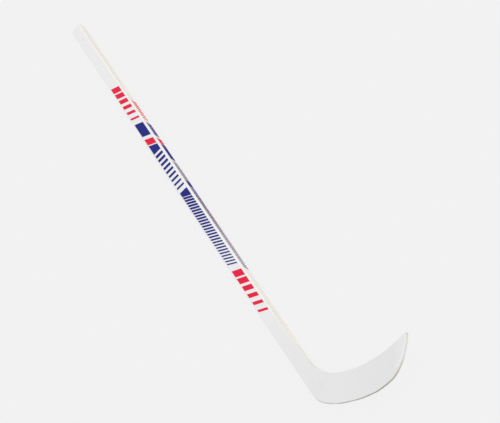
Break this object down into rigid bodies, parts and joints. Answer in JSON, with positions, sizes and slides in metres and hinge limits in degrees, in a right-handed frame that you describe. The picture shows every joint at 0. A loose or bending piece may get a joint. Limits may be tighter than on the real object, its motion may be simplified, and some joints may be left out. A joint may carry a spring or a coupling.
{
  "type": "wooden ice hockey stick",
  "caption": "Laminated wooden ice hockey stick: straight rounded-rectangular shaft, flared heel and a left-handed curved blade under white glass-cloth faces.",
  "frame": {"origin": "centre of the square-cut butt end", "axes": "+X along the shaft from the butt to the heel, +Y towards the toe side, +Z the outward normal of the forehand face, towards which the toe curves; the stick lies on its backhand face"},
  "size_m": [1.6702, 0.2764, 0.0841],
  "materials": {
    "glass_facing": "white painted glass-cloth laminate, satin",
    "glass_skin": "white painted glass cloth in resin, satin",
    "birch_ply": "birch veneer, clear lacquer on its edges",
    "aspen_core": "pale aspen, clear lacquer on its edges",
    "heel_block_wood": "birch block, clear lacquer",
    "blade_core_wood": "edge-glued ash strips, clear lacquer on their edges"
  },
  "bodies": {
    "root": {"shaft_facing_forehand": "glass_facing", "shaft_facing_backhand": "glass_facing", "shaft_ply_forehand": "birch_ply", "shaft_ply_backhand": "birch_ply", "shaft_core": "aspen_core", "heel_block_toe_side": "heel_block_wood", "heel_block_heel_side": "heel_block_wood", "blade_strip_sole": "blade_core_wood", "blade_strip_middle": "blade_core_wood", "blade_strip_top": "blade_core_wood", "blade_skin_forehand": "glass_skin", "blade_skin_backhand": "glass_skin"}
  },
  "joints": []
}
